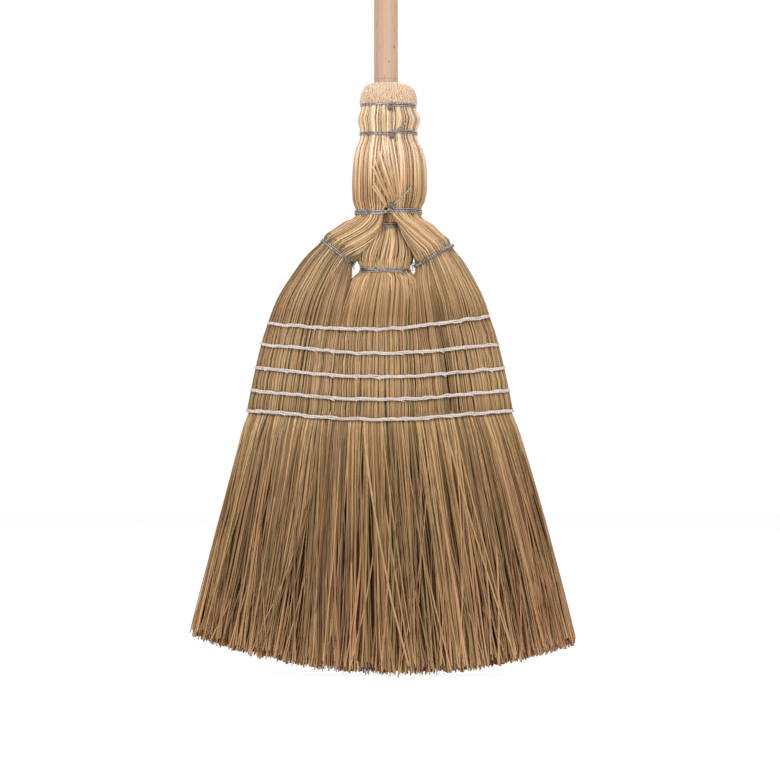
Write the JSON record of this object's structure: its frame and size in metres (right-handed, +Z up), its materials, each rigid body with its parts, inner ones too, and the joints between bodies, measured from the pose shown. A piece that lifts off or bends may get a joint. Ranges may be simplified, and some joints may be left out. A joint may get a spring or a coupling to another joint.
{
  "type": "straw broom",
  "caption": "Upright straw broom with a round wooden handle, tied shoulder bundles and a flat fan sewn in rows above loose straw tips.",
  "frame": {"origin": "on the handle's axis, at the height of the lowest straw tips", "axes": "+Z up along the handle, +X across the fan to the right seen from the front, -Y out of the front, where the nails are"},
  "size_m": [0.3853, 0.0656, 1.4],
  "materials": {
    "handle_wood": "plain sanded softwood, unvarnished",
    "straw_stalk": "dry pale straw, lightly glossy stalks",
    "straw_tips": "dry brown straw, matt",
    "galvanised_wire": "dull galvanised steel wire",
    "nail_steel": "dull grey steel",
    "twine": "off-white waxed twine"
  },
  "bodies": {
    "root": {"handle": "handle_wood", "centre_bundle": "straw_stalk", "left_bundle": "straw_stalk", "right_bundle": "straw_stalk", "centre_bristles": "straw_tips", "left_bristles": "straw_tips", "right_bristles": "straw_tips", "neck_wire_top": "galvanised_wire", "neck_wire_middle": "galvanised_wire", "neck_wire_bottom": "galvanised_wire", "core_wire": "galvanised_wire", "waist_wire": "galvanised_wire", "left_shoulder_wire": "galvanised_wire", "right_shoulder_wire": "galvanised_wire", "nail_top": "nail_steel", "nail_middle": "nail_steel", "nail_bottom": "nail_steel", "stitch_twine_1": "twine", "stitch_twine_2": "twine", "stitch_twine_3": "twine", "stitch_twine_4": "twine", "stitch_twine_5": "twine"}
  },
  "joints": []
}
